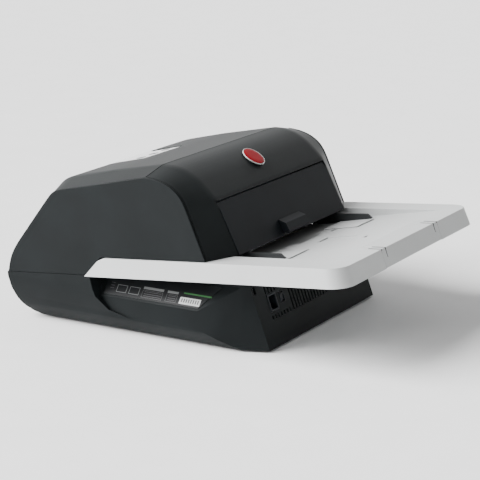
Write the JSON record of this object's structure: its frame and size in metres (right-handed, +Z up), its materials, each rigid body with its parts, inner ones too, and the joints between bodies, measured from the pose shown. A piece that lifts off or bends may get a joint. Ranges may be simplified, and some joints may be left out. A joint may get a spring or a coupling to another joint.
{
  "type": "automatic document laminator",
  "caption": "Desktop film laminator with an inclined U-shaped feed tray, sliding sheet guides, cartridge door, rollers and cutter.",
  "frame": {"origin": "centre of the footprint box on the surface the feet stand on", "axes": "+X to the right seen from the feed tray, +Y to the back where sheets leave, +Z up; the feed tray points to -Y"},
  "size_m": [0.41, 0.55, 0.2366],
  "materials": {
    "charcoal_shell": "fine moulded texture, charcoal grey",
    "dark_plastic": "smooth dark grey",
    "light_plastic": "fine satin, light grey",
    "guide_plastic": "satin mid grey",
    "key_plastic": "satin grey",
    "rubber": "matt black",
    "steel": "zinc plated sheet",
    "silicone": "smooth brick red silicone sleeve",
    "nylon": "moulded natural nylon",
    "film": "wound clear film",
    "circuit_board": "green solder mask",
    "gloss_panel": "polished black",
    "badge_enamel": "domed red enamel with a pale rim",
    "label": "satin printed film"
  },
  "bodies": {
    "housing": {"base_tub": "charcoal_shell", "rear_cover": "charcoal_shell", "front_hood": "charcoal_shell", "left_side_panel": "charcoal_shell", "right_side_panel": "charcoal_shell", "foot_front_left": "rubber", "foot_front_right": "rubber", "foot_rear_left": "rubber", "foot_rear_right": "rubber", "left_label": "label", "right_label": "label", "input_tray": "light_plastic", "power_inlet": "dark_plastic", "switch_frame": "dark_plastic", "maker_badge": "badge_enamel", "control_panel": "gloss_panel", "hinge_pin_left": "steel", "hinge_pin_right": "steel", "left_frame_plate": "steel", "right_frame_plate": "steel", "drive_motor": "steel", "drive_belt": "rubber", "fan_frame": "dark_plastic", "chassis_plate": "steel", "control_board": "circuit_board", "power_supply": "steel", "cutter_rail": "steel", "cutter_bed": "steel"},
    "door": {"cartridge_door": "dark_plastic"},
    "handle": {"door_handle": "dark_plastic"},
    "extension": {"tray_extension": "light_plastic"},
    "guide_left": {"left_guide": "guide_plastic"},
    "guide_right": {"right_guide": "guide_plastic"},
    "pinion": {"guide_pinion": "nylon"},
    "key_power": {"power_key": "key_plastic"},
    "key_start": {"start_key": "key_plastic"},
    "key_reverse": {"reverse_key": "key_plastic"},
    "rocker": {"rocker_switch": "dark_plastic"},
    "pickup": {"pickup_roller": "rubber"},
    "heat_lower": {"lower_heat_roller": "silicone", "main_gear": "nylon", "lower_roller_gear": "nylon", "main_pulley": "nylon"},
    "heat_upper": {"upper_heat_roller": "silicone", "upper_roller_gear": "nylon"},
    "exit_lower": {"lower_exit_roller": "rubber", "exit_pulley": "nylon"},
    "exit_upper": {"upper_exit_roller": "rubber"},
    "motor": {"motor_shaft": "steel", "motor_pinion": "nylon"},
    "film_upper": {"upper_film_roll": "film"},
    "film_lower": {"lower_film_roll": "film"},
    "cutter": {"cutter_carriage": "dark_plastic"},
    "blade": {"cutter_wheel": "steel"},
    "fan": {"fan_rotor": "guide_plastic"}
  },
  "joints": [
    {"name": "door_hinge", "type": "hinge", "parent": "housing", "child": "door", "pos_m": [0, -0.0524, 0.1908], "axis": [-1, 0, 0], "range_deg": [0, 65]},
    {"name": "handle_hinge", "type": "hinge", "parent": "door", "child": "handle", "pos_m": [0, -0.08283, 0.14166], "axis": [-1, 0, 0], "range_deg": [0, 7], "stiffness_Nm_per_rad": 0.2, "springref_deg": -5.73},
    {"name": "extension_slide", "type": "slide", "parent": "housing", "child": "extension", "axis": [0, -0.9954, 0.0958], "range_m": [0, 0.075]},
    {"name": "left_guide_slide", "type": "slide", "parent": "housing", "child": "guide_left", "axis": [1, 0, 0], "range_m": [0, 0.05]},
    {"name": "right_guide_slide", "type": "slide", "parent": "housing", "child": "guide_right", "axis": [1, 0, 0], "range_m": [-0.05, 0]},
    {"name": "guide_pinion_spin", "type": "hinge", "parent": "housing", "child": "pinion", "pos_m": [0, -0.132, 0.1105], "axis": [0, 0, 1], "range_deg": [0, 360]},
    {"name": "power_key_press", "type": "slide", "parent": "housing", "child": "key_power", "axis": [0, -0.2365, -0.9716], "range_m": [0, 0.0015], "stiffness_N_per_m": 300},
    {"name": "start_key_press", "type": "slide", "parent": "housing", "child": "key_start", "axis": [0, -0.2365, -0.9716], "range_m": [0, 0.0015], "stiffness_N_per_m": 300},
    {"name": "reverse_key_press", "type": "slide", "parent": "housing", "child": "key_reverse", "axis": [0, -0.2365, -0.9716], "range_m": [0, 0.0015], "stiffness_N_per_m": 300},
    {"name": "rocker_tilt", "type": "hinge", "parent": "housing", "child": "rocker", "pos_m": [0, -0.11474, 0.05673], "axis": [-1, 0, 0], "range_deg": [0, 12]},
    {"name": "pickup_spin", "type": "hinge", "parent": "housing", "child": "pickup", "pos_m": [0, -0.03, 0.1175], "axis": [1, 0, 0], "continuous": true},
    {"name": "lower_heat_spin", "type": "hinge", "parent": "housing", "child": "heat_lower", "pos_m": [0, 0.06, 0.082], "axis": [1, 0, 0], "continuous": true},
    {"name": "upper_heat_spin", "type": "hinge", "parent": "housing", "child": "heat_upper", "pos_m": [0, 0.06, 0.1126], "axis": [1, 0, 0], "continuous": true},
    {"name": "lower_exit_spin", "type": "hinge", "parent": "housing", "child": "exit_lower", "pos_m": [0, 0.2, 0.084], "axis": [1, 0, 0], "continuous": true},
    {"name": "upper_exit_spin", "type": "hinge", "parent": "housing", "child": "exit_upper", "pos_m": [0, 0.2, 0.1026], "axis": [1, 0, 0], "continuous": true},
    {"name": "motor_spin", "type": "hinge", "parent": "housing", "child": "motor", "pos_m": [0, 0.09377, 0.0625], "axis": [1, 0, 0], "continuous": true},
    {"name": "upper_film_spin", "type": "hinge", "parent": "housing", "child": "film_upper", "pos_m": [0, 0.012, 0.166], "axis": [1, 0, 0], "continuous": true},
    {"name": "lower_film_spin", "type": "hinge", "parent": "housing", "child": "film_lower", "pos_m": [0, -0.032, 0.06], "axis": [1, 0, 0], "continuous": true},
    {"name": "cutter_slide", "type": "slide", "parent": "housing", "child": "cutter", "axis": [1, 0, 0], "range_m": [-0.11, 0.11]},
    {"name": "cutter_wheel_spin", "type": "hinge", "parent": "cutter", "child": "blade", "pos_m": [0, 0.15, 0.103], "axis": [0, 1, 0], "continuous": true},
    {"name": "fan_spin", "type": "hinge", "parent": "housing", "child": "fan", "pos_m": [0.095, -0.094, 0.045], "axis": [0, 1, 0], "continuous": true}
  ],
  "couplings": [
    {"joint": "right_guide_slide", "follows": "left_guide_slide", "ratio": -1},
    {"joint": "guide_pinion_spin", "follows": "left_guide_slide", "rad_per_m": 125},
    {"joint": "upper_heat_spin", "follows": "lower_heat_spin", "ratio": -1},
    {"joint": "motor_spin", "follows": "lower_heat_spin", "ratio": -3.3333},
    {"joint": "lower_exit_spin", "follows": "lower_heat_spin", "ratio": 1.6667},
    {"joint": "upper_exit_spin", "follows": "lower_heat_spin", "ratio": -1.6667},
    {"joint": "upper_film_spin", "follows": "lower_heat_spin", "ratio": -0.55556},
    {"joint": "lower_film_spin", "follows": "lower_heat_spin", "ratio": 0.6},
    {"joint": "cutter_wheel_spin", "follows": "cutter_slide", "rad_per_m": 86.957}
  ]
}
